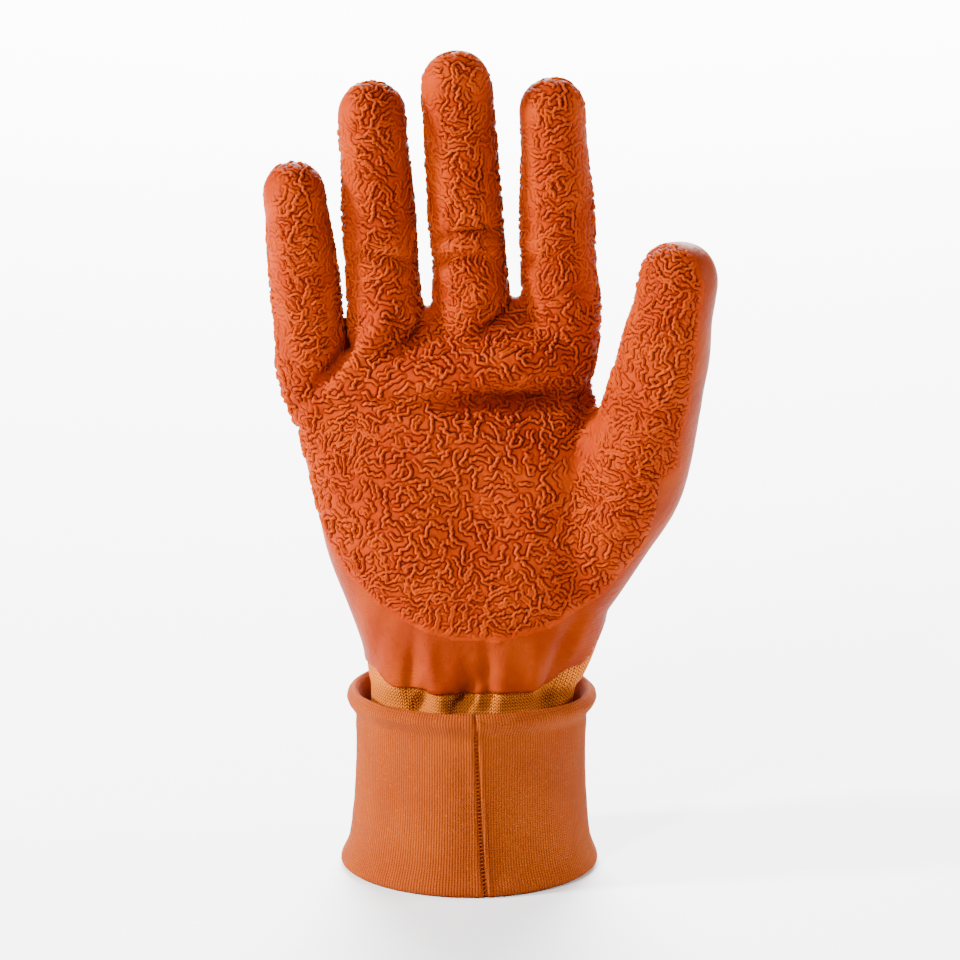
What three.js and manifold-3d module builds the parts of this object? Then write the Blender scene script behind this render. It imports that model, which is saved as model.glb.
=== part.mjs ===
// A right-hand grip glove standing on its cuff, fingers up, palm towards -Y, thumb towards +X.
// A knitted liner is dipped in smooth latex to just above the wrist, the palm side is dipped
// again in latex that sets with a crinkled skin, and a wide jersey cuff is sewn to the hem.
// Millimetres, +Z up, origin on the floor under the middle of the glove's box.
import * as THREE from "three";
import { mergeVertices } from "three/addons/utils/BufferGeometryUtils.js";
import Module from "manifold-3d";

const wasm = await Module();
wasm.setup();

// Layers, from the hand outwards.
const LINER_WALL = 1.2;
const LATEX_WALL = 0.9;
const GRIP_WALL = 1.0;
const LAYER_GAP = 0.3;

// Cuff: an oval tube of doubled jersey, measured over its narrow middle, with a flare at each end.
// Its top leans a little towards the thumb.
const CUFF_HEIGHT = 61.5;
const CUFF_WIDTH = 76.4;
const CUFF_DEPTH = 71;
const CUFF_WALL = 2.6;
const CUFF_FLARE = 4.4;
const CUFF_LEAN = 1;
const SEAM_WIDTH = 1.6;
const SEAM_LIFT = 0.7;
const SEAM_ANGLE = -80.5;
const SEAM_LEAN = 6;

// Hand, measured over the smooth latex. The hem is where the liner is sewn inside the cuff, and the
// wrist above it is narrower than the cuff's inside by an ease at each side, and at front and back.
const PALM_WIDTH = 104;
const PALM_DEPTH = 38;
const PALM_HEIGHT = 124;
const HEM_DROP = 31.5;
const WRIST_EASE_SIDE = 1.3;
const WRIST_EASE_FRONT = 5.3;
const GATHER_DEPTH = 3.6;
const DENT_DEPTH = 4;

// Fingers, sized on the middle one. across and up place the middle of each root, in shares of
// PALM_WIDTH and PALM_HEIGHT, and length, width and depth are shares of the middle finger's. lean is
// in degrees towards the thumb, and curl is the bend towards the palm, root to tip.
const FINGER_LENGTH = 94.5;
const FINGER_WIDTH = 25.8;
const FINGER_DEPTH = 23.8;
const FINGERS = [
  { across: -0.488, up: 0.89, length: 0.778, width: 0.946, depth: 0.945, lean: -6.2, curl: 13 },
  { across: -0.261, up: 1, length: 0.931, width: 0.984, depth: 0.975, lean: -3.6, curl: 12 },
  { across: 0.013, up: 1.03, length: 1, width: 1, depth: 1, lean: -3.7, curl: 11 },
  { across: 0.294, up: 1.03, length: 0.899, width: 1.016, depth: 1, lean: -1.8, curl: 12 },
];
const INDEX_FINGER = FINGERS[3];
const MIDDLE_FINGER = FINGERS[2];

// Thumb: its root's place in shares of PALM_WIDTH, PALM_DEPTH and PALM_HEIGHT, and how far the tip
// lies above, beside and in front of it.
const THUMB_ROOT = { across: 0.288, front: 0.1, up: 0.23 };
const THUMB_RISE = 132;
const THUMB_REACH = 41.5;
const THUMB_FORWARD = 20;
const THUMB_WIDTH = 33;
const THUMB_DEPTH = 31;

// Edges of the two dips, above the cuff's top. The crinkled one wraps a little past the middle of
// each finger's side, and on the thumb it is turned to leave the side away from the fingers smooth.
const DIP_ABOVE_CUFF = 6;
const DIP_WAVE = 12;
const GRIP_ABOVE_CUFF = 24;
const GRIP_BOW = 54.5;
const GRIP_HALF_WIDTH = 58;
const GRIP_MIDDLE = 5;
const GRIP_WRAP = 3;
const THUMB_GRIP_TURN = 51;

// Sides round each form, and how square a hand's section is: 2 is an oval.
const LIMB_SIDES = 10;
const PALM_SIDES = 28;
const CUFF_SIDES = 36;
const SQUARENESS = 2.4;

// One row for each section of a finger: along is a share of its length, width and depth are
// shares of its own. The narrower rows are the creases where the joints bend.
const FINGER_SECTIONS = [
  { along: -0.22, width: 0.76, depth: 0.8 },
  { along: 0, width: 0.99, depth: 1.0 },
  { along: 0.13, width: 0.95, depth: 1.03 },
  { along: 0.26, width: 0.915, depth: 0.9 },
  { along: 0.42, width: 0.93, depth: 0.97 },
  { along: 0.74, width: 0.88, depth: 0.89 },
];

// The round end of a limb: back is a share of its last half width, size of its last width.
const TIP_SECTIONS = [
  { back: 0.66, size: 0.95 },
  { back: 0.3, size: 0.74 },
  { back: 0.06, size: 0.36 },
  { back: 0, size: 0 },
];

// The thumb from the heel of the palm up: shares of its rise, reach, lean, width and depth.
const THUMB_SECTIONS = [
  { rise: 0, out: 0, forward: 0, width: 0.8, depth: 0.74 },
  { rise: 0.121, out: 0.22, forward: 0.08, width: 0.9, depth: 0.9 },
  { rise: 0.234, out: 0.405, forward: 0.2, width: 0.97, depth: 0.98 },
  { rise: 0.34, out: 0.569, forward: 0.33, width: 1.045, depth: 1.03 },
  { rise: 0.438, out: 0.66, forward: 0.45, width: 1.045, depth: 1.02 },
  { rise: 0.62, out: 0.79, forward: 0.67, width: 0.935, depth: 0.95 },
  { rise: 0.726, out: 0.86, forward: 0.79, width: 0.935, depth: 0.95 },
  { rise: 0.83, out: 0.915, forward: 0.89, width: 0.86, depth: 0.87 },
];

// The wrist inside the cuff: up is a share of the way from hem to the cuff's top, the others are
// shares of the wrist's own half sizes, and gather is how deep the gathers are cut in that row.
const WRIST_SECTIONS = [
  { up: 0.38, left: 1, right: 1, front: 1, back: 1, gather: 0.8 },
  { up: 1, left: 0.97, right: 1.05, front: 0.96, back: 0.94, gather: 1 },
];

// The hand from the cuff to the finger roots: height is a share of PALM_HEIGHT above the cuff,
// left and right are shares of PALM_WIDTH, front and back of PALM_DEPTH, and tilt lifts the thumb
// side by a share of PALM_HEIGHT.
const PALM_SECTIONS = [
  { height: 0.045, left: 0.333, right: 0.38, front: 0.7, back: 0.67, tilt: 0, gather: 0.9 },
  { height: 0.125, left: 0.346, right: 0.42, front: 0.665, back: 0.63, tilt: 0, gather: 0.5 },
  { height: 0.24, left: 0.39, right: 0.45, front: 0.64, back: 0.59, tilt: 0, gather: 0.15 },
  { height: 0.38, left: 0.453, right: 0.47, front: 0.63, back: 0.54, tilt: 0, gather: 0 },
  { height: 0.52, left: 0.49, right: 0.47, front: 0.62, back: 0.51, tilt: 0, gather: 0 },
  { height: 0.655, left: 0.528, right: 0.45, front: 0.59, back: 0.49, tilt: 0, gather: 0 },
  { height: 0.755, left: 0.54, right: 0.415, front: 0.52, back: 0.47, tilt: 0.01, gather: 0 },
  { height: 0.83, left: 0.545, right: 0.39, front: 0.43, back: 0.44, tilt: 0.03, gather: 0 },
  { height: 0.91, left: 0.54, right: 0.385, front: 0.47, back: 0.4, tilt: 0.05, gather: 0 },
  { height: 0.985, left: 0.48, right: 0.36, front: 0.32, back: 0.3, tilt: 0.07, gather: 0 },
];

// Gathers of the wrist, where the liner is eased into the cuff. angle is from +X, in degrees, and
// depth is a share of GATHER_DEPTH.
const GATHERS = [
  { angle: -120, depth: 0.9, spread: 9 },
  { angle: -90, depth: 0.7, spread: 8 },
  { angle: -40, depth: 1, spread: 9 },
  { angle: 40, depth: 0.65, spread: 10 },
  { angle: 80, depth: 0.8, spread: 9 },
  { angle: 130, depth: 0.7, spread: 10 },
];

// Dents of the palm's front: across is a share of PALM_WIDTH from the middle, height and tall of
// PALM_HEIGHT, wide of PALM_WIDTH, and depth of DENT_DEPTH.
const PALM_DENTS = [
  { across: 0.24, height: 0.8, wide: 0.2, tall: 0.09, depth: 1 },
  { across: 0.02, height: 0.55, wide: 0.16, tall: 0.16, depth: 0.8 },
  { across: -0.42, height: 0.8, wide: 0.1, tall: 0.08, depth: 0.6 },
];

// The cuff's wall, once round: height is a share of CUFF_HEIGHT, flare of CUFF_FLARE, and inset
// of CUFF_WALL, in from the outer face.
const CUFF_SECTIONS = [
  { height: 0, flare: 0.72, inset: 0.2 },
  { height: 0.035, flare: 0.95, inset: 0 },
  { height: 0.17, flare: 0.42, inset: 0 },
  { height: 0.4, flare: 0.1, inset: 0 },
  { height: 0.68, flare: 0, inset: 0 },
  { height: 0.86, flare: 0.15, inset: 0 },
  { height: 0.93, flare: 0.5, inset: -0.1 },
  { height: 0.97, flare: 0.62, inset: -0.1 },
  { height: 1, flare: 0.56, inset: 0.35 },
  { height: 1, flare: 0.5, inset: 0.75 },
  { height: 0.965, flare: 0.4, inset: 1.08 },
  { height: 0.86, flare: 0.15, inset: 1 },
  { height: 0.4, flare: 0.1, inset: 1 },
  { height: 0.17, flare: 0.42, inset: 1 },
  { height: 0, flare: 0.72, inset: 0.95 },
];

// The smooth dip's edge, once round: rise is a share of DIP_WAVE.
const DIP_EDGE = [
  { angle: -180, rise: 0.44 },
  { angle: -135, rise: 0 },
  { angle: -90, rise: 0 },
  { angle: -55, rise: 0.08 },
  { angle: -25, rise: 0.6 },
  { angle: 0, rise: 1 },
  { angle: 45, rise: 0.6 },
  { angle: 90, rise: 0.25 },
  { angle: 135, rise: 0.35 },
  { angle: 180, rise: 0.44 },
];

const COLOURS = {
  knit_liner: { color: 0xe8943c, roughness: 0.9 },
  latex_coat: { color: 0xd85a1c, roughness: 0.5 },
  grip_coat: { color: 0xcc4e16, roughness: 0.55 },
  cuff: { color: 0xd9701c, roughness: 0.95 },
  cuff_seam: { color: 0xd2661a, roughness: 0.95 },
};

// How far each layer's faces lie outside the smooth latex's outer face.
const LATEX_OUT = 0;
const LATEX_IN = LATEX_OUT - LATEX_WALL;
const LINER_OUT = LATEX_IN - LAYER_GAP;
const LINER_IN = LINER_OUT - LINER_WALL;
const GRIP_IN = LATEX_OUT + LAYER_GAP;
const GRIP_OUT = GRIP_IN + GRIP_WALL;

const radians = THREE.MathUtils.degToRad;
const turnOf = (index, sides) => (2 * Math.PI * index) / sides;

// A closed body skinned over rings of points. A loop of rings closes on itself like a tyre, and
// otherwise each end is a fan to the middle of its ring.
function skin(rings, loop = false) {
  const sides = rings[0].length;
  const points = rings.flat();
  const faces = [];
  const bands = loop ? rings.length : rings.length - 1;
  for (let band = 0; band < bands; band++) {
    const below = band * sides;
    const above = ((band + 1) % rings.length) * sides;
    for (let side = 0; side < sides; side++) {
      const next = (side + 1) % sides;
      faces.push(below + side, below + next, above + next);
      faces.push(below + side, above + next, above + side);
    }
  }
  const closeEnd = (ring, isTop) => {
    const middle = new THREE.Vector3();
    rings[ring].forEach((point) => middle.addScaledVector(point, 1 / sides));
    const hub = points.push(middle) - 1;
    for (let side = 0; side < sides; side++) {
      const here = ring * sides + side;
      const next = ring * sides + ((side + 1) % sides);
      faces.push(...(isTop ? [here, next, hub] : [next, here, hub]));
    }
  };
  if (!loop) {
    closeEnd(0, false);
    closeEnd(rings.length - 1, true);
  }
  return new THREE.BufferGeometry().setFromPoints(points).setIndex(faces);
}

function solid(geometry) {
  const bare = geometry.clone();
  bare.deleteAttribute("normal");
  bare.deleteAttribute("uv");
  const merged = mergeVertices(bare, 1e-4);
  const vertProperties = new Float32Array(merged.getAttribute("position").array);
  const triVerts = new Uint32Array(merged.index.array);
  return new wasm.Manifold(new wasm.Mesh({ numProp: 3, vertProperties, triVerts }));
}

function named(name, body) {
  const { vertProperties, triVerts } = body.getMesh();
  const geometry = new THREE.BufferGeometry();
  geometry.setAttribute("position", new THREE.BufferAttribute(vertProperties, 3));
  geometry.setIndex(new THREE.BufferAttribute(triVerts, 1));
  geometry.computeVertexNormals();
  const material = new THREE.MeshStandardMaterial({ ...COLOURS[name], metalness: 0 });
  const mesh = new THREE.Mesh(geometry, material);
  mesh.name = name;
  return mesh;
}

// Half sizes of the cuff where it flares by a share of CUFF_FLARE, inset by a share of its wall.
function cuffHalf(flare, inset) {
  const out = flare * CUFF_FLARE - inset * CUFF_WALL;
  return { x: CUFF_WIDTH / 2 + out, y: CUFF_DEPTH / 2 + out };
}

const cuffLean = (z) => (CUFF_LEAN * z) / CUFF_HEIGHT;

function ovalRing(half, z, sides) {
  return Array.from({ length: sides }, (_, side) => {
    const turn = turnOf(side, sides);
    return new THREE.Vector3(half.x * Math.cos(turn), half.y * Math.sin(turn), z);
  });
}

function cuff() {
  const rings = CUFF_SECTIONS.map((row) => {
    const z = row.height * CUFF_HEIGHT;
    const ring = ovalRing(cuffHalf(row.flare, row.inset), z, CUFF_SIDES);
    return ring.map((point) => point.setX(point.x + cuffLean(z)));
  });
  return solid(skin(rings, true));
}

// The raised edge of the cuff's closing seam: a strip that leans as it climbs the front.
const SEAM_SECTION = [
  { side: -0.5, lift: 0 },
  { side: -0.35, lift: 1 },
  { side: 0.35, lift: 1 },
  { side: 0.5, lift: 0 },
];
function cuffSeam() {
  const rows = CUFF_SECTIONS.filter((row) => row.inset <= 0);
  const rings = rows.map((row) => {
    const half = cuffHalf(row.flare, row.inset);
    return SEAM_SECTION.map(({ side, lift }) => {
      const angle = radians(SEAM_ANGLE - SEAM_LEAN * row.height) + (side * SEAM_WIDTH) / half.x;
      const out = LAYER_GAP + lift * SEAM_LIFT;
      const z = row.height * CUFF_HEIGHT;
      const x = cuffLean(z) + (half.x + out) * Math.cos(angle);
      return new THREE.Vector3(x, (half.y + out) * Math.sin(angle), z);
    });
  });
  return solid(skin(rings));
}

// How each ring of a form moves when its face is set off by 1 mm: s along its line, r outwards.
// line holds the same two measures of each ring, and it ends in a point or a flat end. It starts at
// a flat end too, or at an open hem, which only widens.
function setOffs(line, openHem) {
  const normal = (a, b) => {
    const length = Math.hypot(b.s - a.s, b.r - a.r);
    return { s: (a.r - b.r) / length, r: (b.s - a.s) / length };
  };
  return line.map((at, i) => {
    if (i === 0 && openHem) return { s: 0, r: 1 };
    const before = i === 0 ? { s: -1, r: 0 } : normal(line[i - 1], at);
    const end = at.r === 0 ? { s: before.s, r: -before.r } : { s: 1, r: 0 };
    const after = i < line.length - 1 ? normal(at, line[i + 1]) : end;
    const share = 1 + before.s * after.s + before.r * after.r;
    return { s: (before.s + after.s) / share, r: (before.r + after.r) / share };
  });
}

// A limb is skinned over rows of { centre, width, depth }, each ring square to the limb's line.
// Its last row has no width: it is the tip's point.
function limb(rows, grow) {
  let length = 0;
  const line = rows.map((row, i) => {
    if (i) length += row.centre.distanceTo(rows[i - 1].centre);
    return { s: length, r: (row.width + row.depth) / 4 };
  });
  const moves = setOffs(line, false);
  const rings = rows.map((row, i) => {
    const before = rows[Math.max(i - 1, 0)].centre;
    const after = rows[Math.min(i + 1, rows.length - 1)].centre;
    const along = after.clone().sub(before).normalize();
    const across = new THREE.Vector3(0, 1, 0).cross(along).normalize();
    const inward = along.clone().cross(across);
    const centre = row.centre.clone().addScaledVector(along, grow * moves[i].s);
    const out = row.width ? grow * moves[i].r : 0;
    return Array.from({ length: LIMB_SIDES }, (_, side) => {
      const turn = turnOf(side + 0.5, LIMB_SIDES);
      const point = centre.clone();
      point.addScaledVector(across, (row.width / 2 + out) * Math.cos(turn));
      return point.addScaledVector(inward, (row.depth / 2 + out) * Math.sin(turn));
    });
  });
  return solid(skin(rings));
}

// Rounds a limb off: its last rows are set back from the tip by shares of its last half width.
function withTip(rows, place, length) {
  const last = rows.at(-1);
  const tip = TIP_SECTIONS.map(({ back, size }) => ({
    centre: place(1 - (back * last.width) / 2 / length),
    width: size * last.width,
    depth: size * last.depth,
  }));
  return [...rows, ...tip];
}

// The line of a finger is straight at its root, and bends evenly towards the palm from there.
function fingerRows(finger) {
  const lean = radians(finger.lean);
  const length = finger.length * FINGER_LENGTH;
  const rootX = finger.across * PALM_WIDTH;
  const rootZ = CUFF_HEIGHT + finger.up * PALM_HEIGHT;
  const place = (along) => {
    const bend = radians(finger.curl) * Math.max(along, 0);
    const forward = (along * length * bend) / 2;
    const rise = along * length - (forward * bend) / 3;
    return new THREE.Vector3(rootX + rise * Math.sin(lean), -forward, rootZ + rise * Math.cos(lean));
  };
  const rows = FINGER_SECTIONS.map((row) => ({
    centre: place(row.along),
    width: row.width * finger.width * FINGER_WIDTH,
    depth: row.depth * finger.depth * FINGER_DEPTH,
  }));
  return withTip(rows, place, length);
}

function thumbRows() {
  const at = (out, forward, rise) => new THREE.Vector3(
    THUMB_ROOT.across * PALM_WIDTH + out * THUMB_REACH,
    -THUMB_ROOT.front * PALM_DEPTH - forward * THUMB_FORWARD,
    CUFF_HEIGHT + THUMB_ROOT.up * PALM_HEIGHT + rise * THUMB_RISE
  );
  const rows = THUMB_SECTIONS.map((row) => ({
    centre: at(row.out, row.forward, row.rise),
    width: row.width * THUMB_WIDTH,
    depth: row.depth * THUMB_DEPTH,
  }));
  const top = at(1, 1, 1);
  const last = THUMB_SECTIONS.at(-1);
  const share = (along) => (along - last.rise) / (1 - last.rise);
  const place = (along) => rows.at(-1).centre.clone().lerp(top, share(along));
  return withTip(rows, place, THUMB_RISE);
}

const bell = (distance, spread) => Math.exp(-((distance / spread) ** 2));

function gatherAt(angle) {
  return GATHERS.reduce((depth, fold) => {
    const away = angle - radians(fold.angle);
    const nearest = Math.atan2(Math.sin(away), Math.cos(away));
    return depth + fold.depth * GATHER_DEPTH * bell(nearest, radians(fold.spread));
  }, 0);
}

function dentAt(x, z) {
  return PALM_DENTS.reduce((depth, dent) => {
    const across = bell(x - dent.across * PALM_WIDTH, dent.wide * PALM_WIDTH);
    const up = bell(z - CUFF_HEIGHT - dent.height * PALM_HEIGHT, dent.tall * PALM_HEIGHT);
    return depth + dent.depth * DENT_DEPTH * across * up;
  }, 0);
}

// A section of the hand: four quarter ovals, squared off a little, with gathers and dents pressed in.
function palmRing(row, move, grow) {
  const rounding = 2 / row.square;
  return Array.from({ length: PALM_SIDES }, (_, side) => {
    const turn = turnOf(side, PALM_SIDES);
    const c = Math.cos(turn);
    const s = Math.sin(turn);
    const out = grow * move.r - row.gather * gatherAt(turn);
    const x = ((c > 0 ? row.right : row.left) + out) * Math.sign(c) * Math.abs(c) ** rounding;
    const dent = s < 0 ? dentAt(x, row.z) : 0;
    const y = ((s > 0 ? row.back : row.front) - dent + out) * Math.sign(s) * Math.abs(s) ** rounding;
    return new THREE.Vector3(x, y, row.z + row.lift * c + grow * move.s);
  });
}

// The hem's outer face meets the cuff's inner face, whichever layer is asked for. Above it the wrist
// draws in by its ease.
function wristRows() {
  const seat = cuffHalf(CUFF_SECTIONS.at(-3).flare, 1);
  const hem = CUFF_HEIGHT - HEM_DROP;
  const hemX = seat.x - LAYER_GAP - LINER_OUT;
  const hemY = seat.y - LAYER_GAP - LINER_OUT;
  const lean = cuffLean(hem);
  const round = { lift: 0, square: 2 };
  const rows = WRIST_SECTIONS.map((row) => ({
    ...round,
    left: row.left * (seat.x - WRIST_EASE_SIDE),
    right: row.right * (seat.x - WRIST_EASE_SIDE),
    front: row.front * (seat.y - WRIST_EASE_FRONT),
    back: row.back * (seat.y - WRIST_EASE_FRONT),
    z: hem + row.up * HEM_DROP,
    gather: row.gather,
  }));
  const seatRow = { left: hemX - lean, right: hemX + lean, front: hemY, back: hemY, z: hem, gather: 0 };
  return [{ ...round, ...seatRow }, ...rows];
}

function palmRows() {
  const rows = PALM_SECTIONS.map((row) => ({
    left: row.left * PALM_WIDTH,
    right: row.right * PALM_WIDTH,
    front: row.front * PALM_DEPTH,
    back: row.back * PALM_DEPTH,
    z: CUFF_HEIGHT + row.height * PALM_HEIGHT,
    lift: row.tilt * PALM_HEIGHT,
    gather: row.gather,
    square: SQUARENESS,
  }));
  return [...wristRows(), ...rows];
}

// The whole hand at one layer. open runs its lower end down past the hem, for cutting it open.
function handForm(grow, open = 0) {
  const rows = palmRows();
  const line = rows.map((row) => ({ s: row.z, r: (row.left + row.right + row.front + row.back) / 4 }));
  const moves = setOffs(line, true);
  const rings = rows.map((row, i) => palmRing(row, moves[i], grow));
  if (open) rings.unshift(rings[0].map((point) => point.clone().setZ(point.z - open)));
  const limbs = [...FINGERS.map(fingerRows), thumbRows()].map((limbRows) => limb(limbRows, grow));
  return limbs.reduce((form, next) => form.add(next), solid(skin(rings)));
}

const layer = (outer, inner) => handForm(outer).subtract(handForm(inner, HEM_DROP));

function dipRise(turn) {
  const angle = ((THREE.MathUtils.radToDeg(turn) + 180) % 360) - 180;
  const next = DIP_EDGE.findIndex((row) => row.angle > angle);
  const a = DIP_EDGE[next - 1];
  const b = DIP_EDGE[next];
  const share = THREE.MathUtils.smoothstep(angle, a.angle, b.angle);
  return DIP_WAVE * (a.rise + (b.rise - a.rise) * share);
}

// All the space above the smooth dip's edge. BEYOND is a reach that clears the whole glove.
const BEYOND = PALM_WIDTH + THUMB_REACH;
const ABOVE = CUFF_HEIGHT + PALM_HEIGHT + THUMB_RISE;
function dipRegion() {
  const edge = (reach) =>
    ovalRing({ x: reach, y: reach }, 0, PALM_SIDES).map((point, side) =>
      point.setZ(CUFF_HEIGHT + DIP_ABOVE_CUFF + dipRise(turnOf(side, PALM_SIDES)))
    );
  const rings = [edge(PALM_DEPTH / 8), edge(BEYOND)];
  rings.push(rings[1].map((point) => point.clone().setZ(ABOVE)));
  return solid(skin(rings));
}

// Extrudes an outline drawn in X and Z through the whole depth.
function throughY(outline) {
  const settings = { depth: 2 * BEYOND, bevelEnabled: false, curveSegments: 20 };
  return solid(new THREE.ExtrudeGeometry(outline, settings).rotateX(Math.PI / 2).translate(0, BEYOND, 0));
}

// Above a bow across the palm, whose ends run outwards past the thumb and the little finger.
function gripBow() {
  const shoulder = CUFF_HEIGHT + GRIP_ABOVE_CUFF + GRIP_BOW;
  const left = GRIP_MIDDLE - GRIP_HALF_WIDTH;
  const right = GRIP_MIDDLE + GRIP_HALF_WIDTH;
  const bow = new THREE.Shape();
  bow.moveTo(-BEYOND, ABOVE);
  bow.lineTo(-BEYOND, shoulder + BEYOND + left);
  bow.absellipse(GRIP_MIDDLE, shoulder, GRIP_HALF_WIDTH, GRIP_BOW, Math.PI, 2 * Math.PI, false);
  bow.lineTo(BEYOND, shoulder + BEYOND - right);
  bow.lineTo(BEYOND, ABOVE);
  return throughY(bow);
}

// In front of the fingers' sides: a profile in Y and Z that bends with the middle finger, drawn
// through from the little finger to just past the index finger.
function gripHandSide(split) {
  const rows = fingerRows(MIDDLE_FINGER);
  const side = new THREE.Shape();
  side.moveTo(-BEYOND, 0);
  side.lineTo(GRIP_WRAP, 0);
  rows.forEach(({ centre }) => side.lineTo(centre.y + GRIP_WRAP, centre.z));
  side.lineTo(rows.at(-1).centre.y + GRIP_WRAP, ABOVE);
  side.lineTo(-BEYOND, ABOVE);
  const slab = new THREE.ExtrudeGeometry(side, { depth: BEYOND + split, bevelEnabled: false });
  const [x, y, z] = [new THREE.Vector3(1, 0, 0), new THREE.Vector3(0, 1, 0), new THREE.Vector3(0, 0, 1)];
  slab.applyMatrix4(new THREE.Matrix4().makeBasis(y, z, x));
  return solid(slab.translate(-BEYOND, 0, 0));
}

// The side of the thumb that faces the fingers and the front. It laps the hand's side by a gap's
// width, so that the two are one.
function gripThumbSide(split) {
  const knuckle = thumbRows().at(THUMB_SECTIONS.length - 2).centre;
  const block = new THREE.BoxGeometry(2 * BEYOND, BEYOND, 2 * ABOVE).translate(0, -BEYOND / 2, 0);
  block.rotateZ(-radians(THUMB_GRIP_TURN)).translate(knuckle.x, knuckle.y, 0);
  const keep = new THREE.BoxGeometry(BEYOND, 2 * BEYOND, 2 * ABOVE);
  keep.translate(split - LAYER_GAP + BEYOND / 2, 0, 0);
  return solid(block).intersect(solid(keep));
}

function gripRegion() {
  const half = (INDEX_FINGER.width * FINGER_WIDTH) / 2;
  const split = INDEX_FINGER.across * PALM_WIDTH + half + GRIP_OUT;
  return gripHandSide(split).add(gripThumbSide(split)).intersect(gripBow());
}

// The body of most volume, without the chips that a cut may leave.
function largest(body) {
  return body.decompose().reduce((a, b) => (a.volume() > b.volume() ? a : b));
}

const glove = new THREE.Group();
glove.add(named("cuff", cuff()));
glove.add(named("cuff_seam", cuffSeam()));
glove.add(named("knit_liner", layer(LINER_OUT, LINER_IN)));
glove.add(named("latex_coat", largest(layer(LATEX_OUT, LATEX_IN).intersect(dipRegion()))));
glove.add(named("grip_coat", largest(layer(GRIP_OUT, GRIP_IN).intersect(gripRegion()))));

// The origin goes on the floor under the middle of the glove's box.
const box = new THREE.Box3().setFromObject(glove);
const middle = box.getCenter(new THREE.Vector3());
glove.position.set(-middle.x, -middle.y, -box.min.z);

export default glove;
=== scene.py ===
import math
import random

import bpy
import numpy as np
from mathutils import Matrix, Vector
from mathutils.bvhtree import BVHTree
from mathutils.kdtree import KDTree


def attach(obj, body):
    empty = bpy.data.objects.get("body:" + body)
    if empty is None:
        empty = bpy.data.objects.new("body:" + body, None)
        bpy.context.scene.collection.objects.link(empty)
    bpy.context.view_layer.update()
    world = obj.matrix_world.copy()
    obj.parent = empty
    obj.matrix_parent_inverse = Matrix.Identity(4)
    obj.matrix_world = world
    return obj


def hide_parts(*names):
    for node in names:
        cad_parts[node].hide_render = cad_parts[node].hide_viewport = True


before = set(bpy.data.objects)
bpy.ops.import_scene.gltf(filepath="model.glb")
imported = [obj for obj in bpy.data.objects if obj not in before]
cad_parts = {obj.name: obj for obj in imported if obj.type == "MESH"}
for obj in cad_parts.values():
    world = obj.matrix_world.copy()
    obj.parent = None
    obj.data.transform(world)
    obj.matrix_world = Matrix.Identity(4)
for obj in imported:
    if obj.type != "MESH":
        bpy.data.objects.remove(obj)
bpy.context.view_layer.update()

# Camera. The photograph looks 16.5 degrees down on the palm from far off. Sizes are in millimetres
# from the middle of the cuff's foot, and become metres, moved by PLACE, where an object is made.
MM = 0.001
PLACE = np.array([-6.929, 0.470, 0.0])
FRAME_PIXELS, PIXELS_PER_MM = 960, 2.994
FOOT_ACROSS, FOOT_DOWN = 469, 865  # the pixel at which the photograph has the middle of the cuff's foot
TILT = math.radians(16.5)
FAR, SENSOR = 3000.0, 36
half = FRAME_PIXELS // 2
aim = np.array([
    (half - FOOT_ACROSS) / PIXELS_PER_MM, 0.0, (FOOT_DOWN - half) / PIXELS_PER_MM / math.cos(TILT),
]) + PLACE
lens = bpy.data.cameras.new("camera")
lens.sensor_width = SENSOR
lens.lens = SENSOR * FAR / (FRAME_PIXELS / PIXELS_PER_MM)
lens.clip_end = 50
camera = bpy.data.objects.new("camera", lens)
camera.location = (aim + FAR * np.array([0, -math.cos(TILT), math.sin(TILT)])) * MM
camera.rotation_euler = (math.pi / 2 - TILT, 0, 0)
bpy.context.scene.collection.objects.link(camera)
bpy.context.scene.camera = camera

# Studio. A plain white floor under a pale surround. One soft light stands at the left, one in front
# and above, a weak one at the right, and a wide one lights the floor behind.
world = bpy.data.worlds.new("surround")
world.use_nodes = True
SURROUND_STRENGTH = 0.14
surround = world.node_tree.nodes["Background"].inputs
surround["Color"].default_value = (1, 1, 1, 1)
surround["Strength"].default_value = SURROUND_STRENGTH
bpy.context.scene.world = world


def soft_light(name, place, watts, width, towards=(0, 0, 0.14)):
    lamp = bpy.data.lights.new(name, "AREA")
    lamp.energy = watts
    lamp.size = width
    lamp_object = bpy.data.objects.new(name, lamp)
    lamp_object.location = place
    lamp_object.rotation_euler = (Vector(towards) - Vector(place)).to_track_quat("-Z", "Y").to_euler()
    bpy.context.scene.collection.objects.link(lamp_object)


soft_light("left", (-1.5, -0.32, 0.7), 104, 0.22)
soft_light("front", (-0.6, -1.1, 1.1), 33, 0.16)
soft_light("right", (1.35, 0.1, 0.5), 24, 0.4)
soft_light("background", (0.0, 1.8, 0.95), 290, 1.4, (0, 1.0, 0))


class Value:
    """A shader socket. Arithmetic on it adds Math nodes to its material."""

    def __init__(self, finish, socket):
        self.finish = finish
        self.socket = socket

    def math(self, operation, *others):
        terms = {i: term for i, term in enumerate((self, *others))}
        return self.finish.node("ShaderNodeMath", {"operation": operation}, terms)

    def __add__(self, other):
        return self.math("ADD", other)

    def __sub__(self, other):
        return self.math("SUBTRACT", other)

    def __rsub__(self, other):
        return self.finish.node("ShaderNodeMath", {"operation": "SUBTRACT"}, {0: other, 1: self})

    def __mul__(self, other):
        return self.math("MULTIPLY", other)

    def __truediv__(self, other):
        return self.math("DIVIDE", other)

    def __pow__(self, other):
        return self.math("POWER", other)

    __radd__ = __add__
    __rmul__ = __mul__

    def held(self, low=0.0, high=1.0):
        return self.math("MAXIMUM", low).math("MINIMUM", high)


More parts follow.
